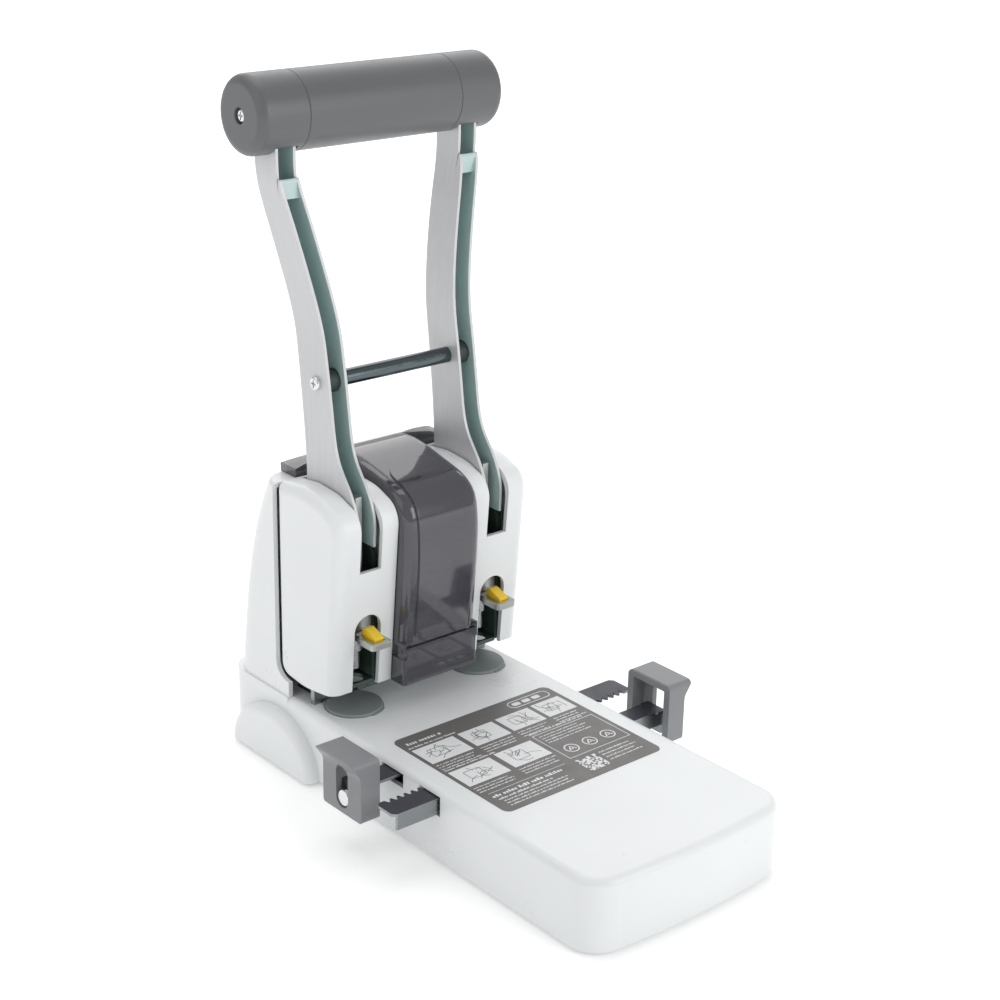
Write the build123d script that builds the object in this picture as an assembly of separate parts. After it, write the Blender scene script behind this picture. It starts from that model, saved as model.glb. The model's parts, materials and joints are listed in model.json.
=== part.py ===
from build123d import *
import math
import os

# Heavy duty two-hole punch. Millimetres, +X right, +Y to the rear, +Z up.
# The origin is on the floor, midway between the sides and between the front and rear of the base.

# ---- driving dimensions ----
HOLE_SPACING = 80.0
HOLE_DIA = 6.0
PUNCH_Y = 61.0
EDGE_MARGIN = 12.0

BASE_LENGTH = 288.0
BASE_HALF_W = HOLE_SPACING / 2 + 22.0
BASE_CORNER_R = 16.0
BASE_WALL = 2.5
FRONT_BOW = 4.0
FOOT_H = 2.0
FOOT_R = 8.0
TABLE_Z = 38.5
TABLE_T = 2.8
TABLE_EDGE_R = 4.0
PLATE_T = 1.5
HUMP_HALF_W = BASE_HALF_W + 7.0
HUMP_Y = 96.0
HUMP_HALF_L = 35.0
HUMP_H = 28.5
BOSS_R = 4.5

HOUSING_HALF_W = BASE_HALF_W - 1.0
HOUSING_FRONT_Y = 99.0
HOUSING_STEP_Y = 88.0
HOUSING_TOP_Z = 151.0
HOUSING_WALL = 2.5
HOUSING_CORNER_R = 15.0

COLUMN_HALF_W = HOUSING_HALF_W - 1.0
COLUMN_INNER_X = HOLE_SPACING / 2 - 15.9
COLUMN_FRONT_Y = 44.6
COLUMN_FOOT_Y = 51.6
COLUMN_SHOULDER_Z = 146.0
COLUMN_TOP_Z = 154.2
COLUMN_REAR_TOP_Z = 151.8
COLUMN_BOTTOM_Z = 52.0
COLUMN_REAR_BOTTOM_Z = 47.0
COLUMN_EDGE_R = 6.0
SEAM = 0.2
ARM_SLOT_HALF = 6.4
ARM_SLOT_Z = 116.3
ARM_SLOT_REAR_Y = 94.5
BAIL_SLOT_HALF = 8.0
BAIL_SLOT_TOP_Z = 92.5

HOOD_HALF_W = COLUMN_INNER_X - 0.4
HOOD_WALL = 2.0
HOOD_BOTTOM_Z = 72.4
HOOD_PANEL_HALF_W = HOOD_HALF_W - 6.9
HOOD_PANEL_H = 0.9
HOOD_PANEL_REAR_Y = 73.0
HOOD_PANEL_SILL = 5.0
HOOD_WING_HALF_W = HOUSING_HALF_W - 14.0
HOOD_CROWN_Z = 162.0
HOOD_CROWN_R = 180.0
DOOR_BOTTOM_Z = 51.5
DOOR_TOP_Z = 71.2
DOOR_FRONT_Y = 41.2
DOOR_T = 2.2
DOOR_CHEEK_REAR_Y = 51.5
DOOR_LUG_Z = 66.0
DOOR_AXIS_Y = 42.4
DOOR_AXIS_Z = 70.2
DOOR_PIN_R = 1.0
SCOOP_HALF_W = 16.0
SCOOP_DEPTH = 6.5
SCOOP_HEIGHT = 10.0
SCOOP_WALL = 1.4

PIVOT_Y = 80.0
PIVOT_Z = 135.0
PIVOT_R = 4.0
HANDLE_SWING = 70.0
STROKE = 20.0
DRIVE_PIN_R = 2.5

ARM_WIDTH = 11.4
ARM_SHEET = 1.5
ARM_FOOT_Z = 127.0
ARM_TOP_Z = 340.0
ARM_TOP_X = 54.4
CROSSBAR_Y = 81.5
CROSSBAR_Z = 204.5
CROSSBAR_R = 4.0

GRIP_Y = 103.0
GRIP_Z = 332.0
GRIP_R = 19.0
GRIP_HALF_L = 72.0
GRIP_SEAM_X = 45.0
GRIP_WALL = 2.5
GRIP_END_R = 5.0
GRIP_SEAM_BEVEL = 0.5
CORE_R = 5.0
CORE_HALF_L = 66.0

FRAME_HALF_GAP = 6.8
FRAME_SHEET = 2.5
FRAME_FRONT_Y = 54.4
FRAME_REAR_Y = 97.0
FRAME_TOP_Z = 146.0
FRAME_THROAT_Z = 52.0
TIE_Y = 88.0
TIE_Z = 25.0
TIE_R = 3.0

SLIDE_HALF_W = 6.4
SLIDE_DEPTH = 16.6
SLIDE_BOTTOM_Z = 76.5
SLIDE_TOP_Z = 112.0
LEDGE_T = 4.0
TONGUE_HALF_T = 1.8
TONGUE_DEPTH = 16.0
TONGUE_TOP_Z = 152.0
CUTTER_BORE_R = 2.5
CUTTER_SHANK_R = 4.5
BAIL_HALF_W = 4.7
BAIL_HEAD_HALF_W = 6.1
BAIL_HEAD_REAR_Y = 49.6
BAIL_POCKET = 1.2
BAIL_T = 3.4
BAIL_TOP_Z = 81.8
BAIL_FRONT_Y = 37.0
WEDGE_FRONT_Y = 40.0
WEDGE_REAR_Y = 50.5

SPRING_Y = 84.0
SPRING_R = 5.0
SPRING_WIRE_R = 0.6
SPRING_FOOT_Z = 60.0

PAPER_STOP_HALF_W = COLUMN_HALF_W - 4.0

DISC_R = 14.7
DISC_T = 3.2
DISC_PROUD = 1.4
DISC_LUG_REACH = 1.2
DISC_LUG_HALF_W = 5.0
DISC_LUG_TURN = -70.0
DISC_SPINDLE_R = 4.0

TOOTH_MODULE = 1.3
PINION_TEETH = 12
PRESSURE_ANGLE = 25.0
BACKLASH = 0.3
PINION_Y = -14.0
RAIL_Z = TABLE_Z - 4.9
RAIL_SHEET = 1.4
RAIL_END_X = 88.0
RAIL_TAB_X = 84.0
RAIL_FRONT_Y = -34.5
RAIL_REAR_Y = 7.5

STOP_INNER_X = 79.0
STOP_OUTER_X = 90.0
STOP_WIDTH = 30.0
STOP_BOTTOM_Z = RAIL_Z - 13.6
STOP_TOP_Z = RAIL_Z + 18.9
STOP_LEFT_Y = 3.0
STOP_RIGHT_Y = -29.0
STOP_TRAVEL = 13.0
RIVET_R = 4.2
RIVET_Z = RAIL_Z - 5.6

LABEL_HALF_W = 49.8
LABEL_FRONT_Y = -69.5
LABEL_REAR_Y = 17.5
LABEL_T = 0.2

# ---- named clearances ----
RUNNING_FIT = 0.05
CURVED_GAP = 0.35
SIDE_GAP = 0.4
SCREW_GAP = 0.1
TIP_GAP = 0.1

# ---- derived dimensions ----
PUNCH_X = HOLE_SPACING / 2
HALF_LENGTH = BASE_LENGTH / 2
TABLE_UNDER_Z = TABLE_Z - TABLE_T
PITCH = math.pi * TOOTH_MODULE
PITCH_R = TOOTH_MODULE * PINION_TEETH / 2
HALF_SWING = math.radians(HANDLE_SWING / 2)
DRIVE_R = STROKE / (2 * math.sin(HALF_SWING))
DRIVE_Y = PIVOT_Y - DRIVE_R * math.cos(HALF_SWING)
DRIVE_Z = PIVOT_Z + STROKE / 2
DRIVE_NEAR_Y = PIVOT_Y - DRIVE_R
SLIDE_REAR_Y = FRAME_FRONT_Y + SLIDE_DEPTH + 0.5
CUTTER_TIP_Z = TABLE_Z + DISC_PROUD + STROKE + TIP_GAP

# Arm edges seen from the side as (y, z), from the foot to the grip.
ARM_FRONT_CURVE = [
    (50.0, ARM_FOOT_Z), (50.0, 142.0), (57.0, 157.0), (64.3, 167.0), (69.6, 187.0),
    (72.6, 207.0), (80.0, 247.0), (85.0, 277.0), (90.6, 303.0), (91.7, ARM_TOP_Z),
]
ARM_REAR_CURVE = [
    (91.0, ARM_FOOT_Z), (91.0, 157.0), (94.5, 197.0), (100.0, 237.0),
    (105.5, 272.0), (109.0, 310.0), (109.0, ARM_TOP_Z),
]
# Middle of the arm seen from the front as (x, z), between its two upright stretches.
ARM_FLARE_CURVE = [(PUNCH_X, 222.0), (43.0, 250.0), (51.0, 287.0), (ARM_TOP_X, 312.0)]
# Rear wall of the housing seen from the side as (y, z).
HOUSING_BACK_CURVE = [(139.5, TABLE_Z), (131.8, 94.0), (123.0, 127.0), (112.5, HOUSING_TOP_Z)]
# Hood surface seen from the side as (y, z), from the front seam to the rear edge.
HOOD_CURVE = [
    (41.6, HOOD_BOTTOM_Z), (39.8, 95.0), (38.3, 118.0), (38.7, 134.0), (42.6, 147.0), (50.5, 153.0),
    (62.0, 156.3), (74.0, 159.0), (92.0, 161.6), (112.0, 155.5),
]
# Outward directions of the hood surface at the same points.
HOOD_NORMALS = [
    (-1.0, 0.0), (-1.0, 0.0), (-1.0, 0.0), (-1.0, 0.2), (-0.8, 0.6), (-0.4, 0.9),
    (-0.25, 1.0), (-0.2, 1.0), (0.0, 1.0), (0.2, 1.0),
]


def block(x0, x1, y0, y1, z0, z1):
    """An upright box between two corners."""
    size = Box(x1 - x0, y1 - y0, z1 - z0, align=(Align.MIN, Align.MIN, Align.MIN))
    return Pos(x0, y0, z0) * size


def rod_z(r, x, y, z0, z1):
    """A cylinder standing along Z."""
    return Pos(x, y, z0) * Cylinder(r, z1 - z0, align=(Align.CENTER, Align.CENTER, Align.MIN))


def rod_x(r, x0, x1, y, z):
    """A cylinder lying along X."""
    return Pos((x0 + x1) / 2, y, z) * Rot(0, 90, 0) * Cylinder(r, abs(x1 - x0))


def rod_y(r, x, y0, y1, z):
    """A cylinder lying along Y."""
    return Pos(x, (y0 + y1) / 2, z) * Rot(90, 0, 0) * Cylinder(r, abs(y1 - y0))


def polygon(plane, corners, depth):
    """A closed polygon of (u, v, corner radius), extruded from the plane along its normal."""
    face = make_face(Polyline(*[(u, v) for u, v, _ in corners], close=True))
    for u, v, radius in corners:
        if radius > 0:
            corner = face.vertices().sort_by_distance((u, v, 0))[0]
            face = fillet(corner, radius)
    return extrude(plane * face, depth)


def side_polygon(corners, x0, x1):
    """A polygon drawn in Y and Z, extruded along X."""
    return polygon(Plane.YZ.offset(x0), corners, x1 - x0)


def top_polygon(corners, z0, z1):
    """A polygon drawn in X and Y, extruded along Z."""
    return polygon(Plane.XY.offset(z0), corners, z1 - z0)


def as_group(shapes):
    """Separate solids kept together in one node."""
    return Compound(children=[s for shape in shapes for s in shape.solids()])


def mirrored(shape):
    """The same piece on the other side of the punch."""
    return mirror(shape, about=Plane.YZ)


def cross_recess(size, depth):
    """A Phillips recess cut downwards from the local origin."""
    bar = Pos(0, 0, -depth / 2) * Box(size, size * 0.24, depth)
    return bar + Rot(0, 0, 90) * bar + Pos(0, 0, -depth / 2) * Cylinder(size * 0.24, depth)


def screw(head_r, head_h, shank_r, shank_l):
    """A pan-head screw whose head sits on the local origin and points up."""
    head = Cylinder(head_r, head_h, align=(Align.CENTER, Align.CENTER, Align.MIN))
    head = fillet(head.edges().sort_by(Axis.Z)[-1], head_h * 0.55)
    head -= Pos(0, 0, head_h) * cross_recess(head_r * 1.15, head_h * 0.6)
    return head + Pos(0, 0, -shank_l / 2) * Cylinder(shank_r, shank_l)


# ---- base ----
def base_outline(inset, z0, z1):
    """The plan of the base with a slightly bowed front edge."""
    half = BASE_HALF_W - inset
    front = -HALF_LENGTH + inset
    rear = HALF_LENGTH - inset
    radius = BASE_CORNER_R - inset
    bow = ThreePointArc((-half, front + FRONT_BOW), (0, front), (half, front + FRONT_BOW))
    sides = Polyline((half, front + FRONT_BOW), (half, rear), (-half, rear), (-half, front + FRONT_BOW))
    face = make_face([bow, *sides.edges()])
    face = fillet(face.vertices(), radius)
    return extrude(Plane.XY.offset(z0) * face, z1 - z0)


def hump(inset):
    """The arched bulge over the rear of the base side."""
    half = HUMP_HALF_W - inset
    arch = extrude(Plane.YZ.offset(-half) * Ellipse(HUMP_HALF_L - inset, HUMP_H - inset), 2 * half)
    if inset == 0:
        arch = fillet([e for e in arch.edges() if e.geom_type != GeomType.LINE], 4.5)
    arch = Pos(0, HUMP_Y, FOOT_H) * arch
    return arch & block(-half - 1, half + 1, 0, HALF_LENGTH, FOOT_H, TABLE_Z)


def disc_seat(x):
    """The thick pad below a cutting disc."""
    return rod_z(DISC_R + 3.5, x, PUNCH_Y, TABLE_Z - 8.0, TABLE_Z)


def disc_seat_cut(x):
    """The round recess and spindle hole for a cutting disc."""
    floor = TABLE_Z + DISC_PROUD - DISC_T
    recess = rod_z(DISC_R + CURVED_GAP, x, PUNCH_Y, floor, TABLE_Z + 1)
    return recess + rod_z(DISC_SPINDLE_R + CURVED_GAP, x, PUNCH_Y, TABLE_Z - 9.0, floor)


def base_boss_places():
    """Where the base plate is screwed on."""
    x = BASE_HALF_W - 13.0
    end = HALF_LENGTH - 22.0
    return [(s * x, y) for s in (-1, 1) for y in (-end, 26.0, end)]


def base_shell():
    """The moulded base with its table top, open below."""
    table = base_outline(0, FOOT_H, TABLE_Z)
    table = fillet(table.faces().sort_by(Axis.Z)[-1].edges(), TABLE_EDGE_R)
    rear = base_outline(0, FOOT_H, TABLE_Z)
    rear &= block(-HUMP_HALF_W, HUMP_HALF_W, HOUSING_STEP_Y + SEAM, HALF_LENGTH, 0, 50)
    body = table + rear + hump(0)
    hollow = base_outline(BASE_WALL, 0, TABLE_UNDER_Z) + hump(BASE_WALL)
    body -= hollow & block(-HUMP_HALF_W, HUMP_HALF_W, -HALF_LENGTH, HALF_LENGTH, 0, TABLE_UNDER_Z)
    for x, y in base_boss_places():
        body += rod_z(BOSS_R, x, y, FOOT_H + PLATE_T, TABLE_UNDER_Z)
    for x, y in tray_boss_places():
        body += rod_z(3.0, x, y, tray_top(), TABLE_UNDER_Z)
    for x in (-PUNCH_X, PUNCH_X):
        body += disc_seat(x)
        body -= disc_seat_cut(x)
        gap = FRAME_HALF_GAP + FRAME_SHEET + 0.5
        body -= block(x - gap, x + gap, 76.5, FRAME_REAR_Y + 0.5, 20, 60)
    body -= block(-BASE_HALF_W - 5, BASE_HALF_W + 5, RAIL_FRONT_Y - 1.2, -20.2, RAIL_Z - 8.1, TABLE_UNDER_Z)
    body -= block(-BASE_HALF_W - 5, BASE_HALF_W + 5, -7.8, RAIL_REAR_Y + 1.2, RAIL_Z - 5.1, TABLE_UNDER_Z)
    for x, y in base_boss_places():
        body -= rod_z(1.5, x, y, 0, 22)
    for x, y in tray_boss_places():
        body -= rod_z(1.2, x, y, 0, TABLE_UNDER_Z + 1.2)
    return body


def base_plate():
    """The steel sheet that closes the base from below."""
    plate = base_outline(BASE_WALL + 0.3, FOOT_H, FOOT_H + PLATE_T)
    for x, y in base_boss_places():
        plate -= rod_z(1.8, x, y, 0, 10)
    return plate


def foot_places():
    """Where the rubber feet are glued on."""
    x = BASE_HALF_W - 18.0
    end = HALF_LENGTH - 40.0
    return [(s * x, y) for s in (-1, 1) for y in (-end, end)]


def feet():
    """Four rubber feet."""
    pads = []
    for x, y in foot_places():
        pad = rod_z(FOOT_R, x, y, 0, FOOT_H)
        pads.append(chamfer(pad.edges().sort_by(Axis.Z)[0], 0.6))
    return as_group(pads)


def base_screws():
    """Six screws that hold the base plate to the bosses."""
    turned = Rot(180, 0, 0) * screw(3.2, 1.4, 1.4, 16.0)
    return as_group([Pos(x, y, FOOT_H) * turned for x, y in base_boss_places()])


def table_label():
    """The instruction label on the table top."""
    corners = [(-LABEL_HALF_W, LABEL_FRONT_Y, 4), (LABEL_HALF_W, LABEL_FRONT_Y, 4),
               (LABEL_HALF_W, LABEL_REAR_Y, 4), (-LABEL_HALF_W, LABEL_REAR_Y, 4)]
    return top_polygon(corners, TABLE_Z, TABLE_Z + LABEL_T)


# ---- paper guide ----
def tray_top():
    """Height of the tray surface that the rails slide over."""
    return RAIL_Z - 0.5


def tray_boss_places():
    """Where the guide tray hangs from the table."""
    return [(-30.0, PINION_Y), (30.0, PINION_Y)]


def rail_tray():
    """The sheet below the table that carries both rails."""
    margin = RAIL_SHEET + 0.6
    tray = block(-56, 56, RAIL_FRONT_Y + margin, RAIL_REAR_Y - margin, tray_top() - 1.6, tray_top())
    for x, y in tray_boss_places():
        tray -= rod_z(1.5, x, y, 20, 40)
    return tray - rod_z(2.0, 0, PINION_Y, 20, 40)


def tray_screws():
    """Two screws up through the tray."""
    return as_group([
        Pos(x, y, tray_top() - 1.6) * Rot(180, 0, 0) * screw(2.8, 1.6, 1.1, 4.6) for x, y in tray_boss_places()
    ])


def pinion_stud():
    """The fixed pin that the pinion turns on, riveted into the tray."""
    pin = rod_z(2.0, 0, PINION_Y, tray_top() - 1.6, TABLE_UNDER_Z - 0.1)
    return pin + rod_z(3.4, 0, PINION_Y, tray_top() - 2.8, tray_top() - 1.6)


def involute_point(base_r, radius, phase):
    """A point of an involute flank at a given radius."""
    alpha = math.acos(base_r / radius)
    angle = phase - (math.tan(alpha) - alpha)
    return (radius * math.cos(angle), radius * math.sin(angle))


def pinion_profile():
    """Outline points of the pinion with one tooth centred on +Y."""
    pressure = math.radians(PRESSURE_ANGLE)
    base_r = PITCH_R * math.cos(pressure)
    tip_r = PITCH_R + 0.8 * TOOTH_MODULE
    root_r = PITCH_R - 1.15 * TOOTH_MODULE
    half_tooth = math.pi / (2 * PINION_TEETH) - BACKLASH / (2 * PITCH_R)
    phase = half_tooth + math.tan(pressure) - pressure
    radii = [base_r + (tip_r - base_r) * i / 5 for i in range(6)]
    flank = [involute_point(base_r, max(r, base_r), phase) for r in radii]
    root = (root_r * math.cos(phase), root_r * math.sin(phase))
    left = [root, *flank]
    right = [(u, -v) for u, v in reversed(left)]
    points = []
    for k in range(PINION_TEETH):
        turn = math.pi / 2 - k * 2 * math.pi / PINION_TEETH
        for u, v in left + right:
            points.append((u * math.cos(turn) - v * math.sin(turn), u * math.sin(turn) + v * math.cos(turn)))
    return points


def pinion():
    """The small gear that makes both rails move equally."""
    face = make_face(Polyline(*pinion_profile(), close=True))
    gear = extrude(Plane.XY * face, RAIL_SHEET + 0.2)
    gear = Pos(0, PINION_Y, RAIL_Z - 0.1) * gear
    return gear - rod_z(2.0 + RUNNING_FIT, 0, PINION_Y, 20, 50)


def rack_gaps(x0, x1, pitch_line, outward):
    """The spaces between the teeth of a rack whose teeth point along outward (+1 or -1 in Y)."""
    slope = math.tan(math.radians(PRESSURE_ANGLE))
    half = PITCH / 4 + BACKLASH / 4
    depth = 1.15 * TOOTH_MODULE
    rise = 2.0
    gaps = []
    first = math.ceil(x0 / PITCH)
    last = math.floor(x1 / PITCH)
    for k in range(first, last + 1):
        x = k * PITCH
        root = pitch_line - outward * depth
        mouth = pitch_line + outward * rise
        corners = [
            (x - half + depth * slope, root, 0), (x + half - depth * slope, root, 0),
            (x + half + rise * slope, mouth, 0), (x - half - rise * slope, mouth, 0),
        ]
        gaps.append(top_polygon(corners, RAIL_Z - 2, RAIL_Z + RAIL_SHEET + 2))
    return gaps


def rail_tab(y, side):
    """The end of a rail bent down to carry a side stop."""
    x0, x1 = sorted((side * RAIL_TAB_X, side * (RAIL_TAB_X + RAIL_SHEET)))
    tab = side_polygon([(y - 6.5, RAIL_Z - 12.1, 2), (y + 6.5, RAIL_Z - 12.1, 2), (y + 6.5, RAIL_Z + RAIL_SHEET, 0),
                        (y - 6.5, RAIL_Z + RAIL_SHEET, 0)], x0, x1)
    return tab - rod_x(2.0 + RUNNING_FIT, x0 - 1, x1 + 1, y, RIVET_Z)


def rail_rear():
    """The rear rail, with the left stop at one end and teeth on its front edge."""
    pitch_line = PINION_Y + PITCH_R
    tip = pitch_line - 0.8 * TOOTH_MODULE
    strip = block(-RAIL_TAB_X, RAIL_END_X, tip, RAIL_REAR_Y, RAIL_Z, RAIL_Z + RAIL_SHEET)
    strip = chamfer([e for e in strip.edges().filter_by(Axis.Z) if e.center().X > 0], 2.0)
    for gap in rack_gaps(-14, RAIL_END_X - 4, pitch_line, -1):
        strip -= gap
    strip -= block(-RAIL_TAB_X - 1, -16, tip - 1, pitch_line + 1.5, RAIL_Z - 1, RAIL_Z + 3)
    flange = block(-RAIL_TAB_X, RAIL_END_X - 2, RAIL_REAR_Y - RAIL_SHEET, RAIL_REAR_Y,
                   RAIL_Z - 4, RAIL_Z + RAIL_SHEET)
    neck = block(-RAIL_TAB_X - RAIL_SHEET, -RAIL_TAB_X + 4, STOP_LEFT_Y - 6.5, STOP_LEFT_Y + 6.5,
                 RAIL_Z, RAIL_Z + RAIL_SHEET)
    return strip + flange + neck + rail_tab(STOP_LEFT_Y, -1)


def rail_front():
    """The front rail, with the right stop at one end and teeth on its rear edge."""
    pitch_line = PINION_Y - PITCH_R
    tip = pitch_line + 0.8 * TOOTH_MODULE
    strip = block(-RAIL_END_X, RAIL_TAB_X, RAIL_FRONT_Y, tip, RAIL_Z, RAIL_Z + RAIL_SHEET)
    strip = chamfer([e for e in strip.edges().filter_by(Axis.Z) if e.center().X < 0], 2.0)
    for gap in rack_gaps(-RAIL_END_X + 4, 14, pitch_line, 1):
        strip -= gap
    strip -= block(16, RAIL_TAB_X + 1, pitch_line - 1.5, tip + 1, RAIL_Z - 1, RAIL_Z + 3)
    flange = block(-RAIL_END_X + 2, RAIL_TAB_X, RAIL_FRONT_Y, RAIL_FRONT_Y + RAIL_SHEET,
                   RAIL_Z - 7, RAIL_Z + RAIL_SHEET)
    neck = block(RAIL_TAB_X - 4, RAIL_TAB_X + RAIL_SHEET, STOP_RIGHT_Y - 6.5, STOP_RIGHT_Y + 6.5,
                 RAIL_Z, RAIL_Z + RAIL_SHEET)
    return strip + flange + neck + rail_tab(STOP_RIGHT_Y, 1)


def stop_rivet(y, side):
    """The round stud of a rail tab that the stop slides on."""
    outer = side * (STOP_OUTER_X - 0.6)
    start = side * (RAIL_TAB_X + RAIL_SHEET)
    stud = rod_x(RIVET_R, *sorted((start, outer)), y, RIVET_Z)
    stud = fillet(stud.edges().filter_by(GeomType.CIRCLE).sort_by(Axis.X)[0 if side < 0 else -1], 0.6)
    return stud + rod_x(2.0, *sorted((side * (RAIL_TAB_X - 0.8), start)), y, RIVET_Z)


def side_stop(y, side):
    """A hollow plastic side stop with a vertical slot and a flared top lip, drawn for the right side."""
    half = STOP_WIDTH / 2
    profile = [
        (STOP_INNER_X, STOP_BOTTOM_Z, 1), (STOP_OUTER_X, STOP_BOTTOM_Z, 1), (STOP_OUTER_X, STOP_TOP_Z - 8, 7),
        (STOP_OUTER_X + 4.5, STOP_TOP_Z - 1.6, 0), (STOP_OUTER_X + 4.5, STOP_TOP_Z, 0), (STOP_INNER_X, STOP_TOP_Z, 1.5),
    ]
    body = polygon(Plane.XZ.offset(-y - half), profile, STOP_WIDTH)
    body &= polygon(Plane.YZ.offset(70), [(y - half, STOP_BOTTOM_Z, 2.5), (y + half, STOP_BOTTOM_Z, 2.5),
                                          (y + half, STOP_TOP_Z, 3), (y - half, STOP_TOP_Z, 3)], 30)
    body -= block(STOP_INNER_X - 1, STOP_OUTER_X - 3.2, y - half + 4, y + half - 4,
                  STOP_BOTTOM_Z - 1, STOP_TOP_Z - 3.5)
    low = RIVET_Z
    high = RIVET_Z + STOP_TRAVEL
    slot_r = RIVET_R + 0.5
    slot = rod_x(slot_r, STOP_OUTER_X - 5, STOP_OUTER_X + 8, y, low)
    slot += rod_x(slot_r, STOP_OUTER_X - 5, STOP_OUTER_X + 8, y, high)
    slot += block(STOP_OUTER_X - 5, STOP_OUTER_X + 8, y - slot_r, y + slot_r, low, high)
    body -= slot & block(STOP_OUTER_X - 6, STOP_OUTER_X + 2, y - 10, y + 10, 0, STOP_TOP_Z - 4)
    return body if side > 0 else mirrored(body)


# ---- cutting discs ----
def cutting_disc(x):
    """A turning disc below a cutter, with a finger lug under its rim."""
    floor = TABLE_Z + DISC_PROUD - DISC_T
    disc = rod_z(DISC_R, x, PUNCH_Y, floor, TABLE_Z + DISC_PROUD)
    disc = chamfer(disc.edges().sort_by(Axis.Z)[-1], 0.4)
    lug_z = TABLE_Z + RUNNING_FIT
    reach = DISC_R + DISC_LUG_REACH
    lug = Pos(x, PUNCH_Y, 0) * Rot(0, 0, DISC_LUG_TURN) * block(0, reach, -DISC_LUG_HALF_W, DISC_LUG_HALF_W,
                                                                lug_z, TABLE_Z + DISC_PROUD - 0.6)
    lug &= rod_z(reach, x, PUNCH_Y, 0, TABLE_Z + DISC_PROUD)
    return disc + lug + rod_z(DISC_SPINDLE_R, x, PUNCH_Y, TABLE_Z - 7.0, floor)


# ---- housing ----
def rear_housing():
    """The white shell behind the columns."""
    half = HOUSING_HALF_W
    back = Spline(*HOUSING_BACK_CURVE)
    low = COLUMN_REAR_BOTTOM_Z - SEAM
    rim = Polyline((HOUSING_BACK_CURVE[-1]), (HOUSING_FRONT_Y, HOUSING_TOP_Z), (HOUSING_FRONT_Y, low),
                   (HOUSING_STEP_Y + SEAM, low), (HOUSING_STEP_Y + SEAM, TABLE_Z), HOUSING_BACK_CURVE[0])
    face = make_face([back, *rim.edges()])
    face = fillet(face.vertices().sort_by_distance((HOUSING_FRONT_Y, low, 0))[0], 9.5)
    solid = extrude(Plane.YZ.offset(-half) * face, 2 * half)
    corners = [e for e in solid.edges() if e.center().Y > 118 and abs(abs(e.center().X) - half) < 0.01
               and e.bounding_box().size.Z > 60]
    solid = fillet(corners, HOUSING_CORNER_R)
    rim_edges = [e for e in solid.faces().sort_by(Axis.Z)[-1].edges() if e.center().Y > HOUSING_FRONT_Y + 0.5]
    solid = fillet(rim_edges, 3.0)
    inner_back = Spline(*[(y - HOUSING_WALL, z) for y, z in HOUSING_BACK_CURVE])
    inner_rim = Polyline((HOUSING_BACK_CURVE[-1][0] - HOUSING_WALL, HOUSING_TOP_Z), (80, HOUSING_TOP_Z), (80, TABLE_Z),
                         (HOUSING_BACK_CURVE[0][0] - HOUSING_WALL, TABLE_Z))
    inner_face = make_face([inner_back, *inner_rim.edges()])
    reach = half - HOUSING_WALL
    hollow = extrude(Plane.YZ.offset(-reach) * inner_face, 2 * reach)
    inner_corners = [e for e in hollow.edges() if e.center().Y > 110 and abs(abs(e.center().X) - reach) < 0.01
                     and e.bounding_box().size.Z > 60]
    hollow = fillet(inner_corners, HOUSING_CORNER_R - HOUSING_WALL)
    hollow &= block(-half, half, 70, 160, 0, HOUSING_TOP_Z - HOUSING_WALL)
    return solid - hollow


def column_front(z):
    """How far forward the leaning front of a column cover is at a height."""
    lean = (COLUMN_FOOT_Y - COLUMN_FRONT_Y) / (COLUMN_SHOULDER_Z - COLUMN_BOTTOM_Z)
    return COLUMN_FRONT_Y + (COLUMN_SHOULDER_Z - z) * lean


def column_profile(inset, drop):
    """The side view of a column cover; drop lowers the bottom edge to open it."""
    low = COLUMN_BOTTOM_Z - drop
    rear_low = COLUMN_REAR_BOTTOM_Z - drop
    rear = HOUSING_FRONT_Y - SEAM + (5 if inset else 0)
    return [
        (column_front(low) + inset, low, 0), (COLUMN_FRONT_Y + inset, COLUMN_SHOULDER_Z - inset, 12),
        (63.0, 152.8 - inset, 30), (80.0, COLUMN_TOP_Z - inset, 30), (rear, COLUMN_REAR_TOP_Z - inset, 0 if inset else 2),
        (rear, rear_low + 1, 0 if inset else 9), (rear - 9, rear_low, 0),
    ]


def column_cover():
    """The moulded cover of the right column, open below and to the rear."""
    outer = side_polygon(column_profile(0, 0), COLUMN_INNER_X, COLUMN_HALF_W)
    edges = [e for e in outer.edges() if abs(e.center().X - COLUMN_HALF_W) < 0.01]
    keep = [e for e in edges if e.center().Y < HOUSING_FRONT_Y - 1.5 and e.center().Z > 60]
    outer = fillet(keep, COLUMN_EDGE_R)
    inner = side_polygon(column_profile(HOUSING_WALL, 20), COLUMN_INNER_X + HOUSING_WALL, COLUMN_HALF_W - HOUSING_WALL)
    cover = outer - inner
    x0 = PUNCH_X - ARM_SLOT_HALF
    x1 = PUNCH_X + ARM_SLOT_HALF
    cover -= block(x0, x1, 30, ARM_SLOT_REAR_Y, ARM_SLOT_Z, 170)
    bottom = BAIL_SLOT_TOP_Z - BAIL_SLOT_HALF
    cover -= block(PUNCH_X - BAIL_SLOT_HALF, PUNCH_X + BAIL_SLOT_HALF, 30, COLUMN_FOOT_Y + 5, 30, bottom)
    cover -= rod_y(BAIL_SLOT_HALF, PUNCH_X, 30, COLUMN_FOOT_Y + 5, bottom)
    return cover - rod_x(PIVOT_R + CURVED_GAP, COLUMN_INNER_X - 1, COLUMN_INNER_X + 4, PIVOT_Y, PIVOT_Z)


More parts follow.
